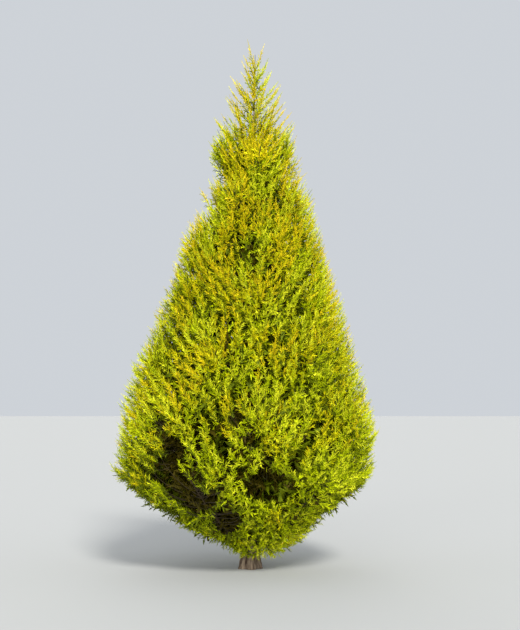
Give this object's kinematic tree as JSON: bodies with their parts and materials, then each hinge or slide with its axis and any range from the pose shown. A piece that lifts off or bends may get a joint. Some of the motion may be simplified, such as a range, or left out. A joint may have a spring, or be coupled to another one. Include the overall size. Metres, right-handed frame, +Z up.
{
  "type": "cypress tree",
  "caption": "Conical garden cypress with golden feathery foliage, swept-up boughs down to near the ground, a short bare trunk foot and an open pointed top.",
  "frame": {"origin": "middle of the trunk's flat cut at ground level", "axes": "+Z up along the trunk; +X to the right and +Y away in the pictured view"},
  "size_m": [2.5864, 2.5928, 5.22],
  "materials": {
    "bark": "grey-brown stringy bark",
    "foliage": "golden-green scale leaves in feathery sprays"
  },
  "bodies": {
    "root": {"trunk": "bark", "bough_belly_1": "bark", "bough_belly_2": "bark", "bough_belly_3": "bark", "bough_belly_4": "bark", "bough_belly_5": "bark", "bough_belly_6": "bark", "bough_low_1": "bark", "bough_low_2": "bark", "bough_low_3": "bark", "bough_low_4": "bark", "bough_low_5": "bark", "bough_low_6": "bark", "bough_skirt_1": "bark", "bough_skirt_2": "bark", "bough_skirt_3": "bark", "bough_skirt_4": "bark", "bough_skirt_5": "bark", "bough_skirt_6": "bark", "foliage_belly_1": "foliage", "foliage_belly_2": "foliage", "foliage_belly_3": "foliage", "foliage_belly_4": "foliage", "foliage_belly_5": "foliage", "foliage_belly_6": "foliage", "foliage_crest_1": "foliage", "foliage_crest_2": "foliage", "foliage_crest_3": "foliage", "foliage_crest_4": "foliage", "foliage_leader": "foliage", "foliage_low_1": "foliage", "foliage_low_2": "foliage", "foliage_low_3": "foliage", "foliage_low_4": "foliage", "foliage_low_5": "foliage", "foliage_low_6": "foliage", "foliage_nape_1": "foliage", "foliage_nape_2": "foliage", "foliage_nape_3": "foliage", "foliage_nape_4": "foliage", "foliage_neck_1": "foliage", "foliage_neck_2": "foliage", "foliage_neck_3": "foliage", "foliage_neck_4": "foliage", "foliage_shoulder_1": "foliage", "foliage_shoulder_2": "foliage", "foliage_shoulder_3": "foliage", "foliage_shoulder_4": "foliage", "foliage_skirt_1": "foliage", "foliage_skirt_2": "foliage", "foliage_skirt_3": "foliage", "foliage_skirt_4": "foliage", "foliage_skirt_5": "foliage", "foliage_skirt_6": "foliage", "foliage_waist_1": "foliage", "foliage_waist_2": "foliage", "foliage_waist_3": "foliage", "foliage_waist_4": "foliage", "foliage_waist_5": "foliage"}
  },
  "joints": []
}
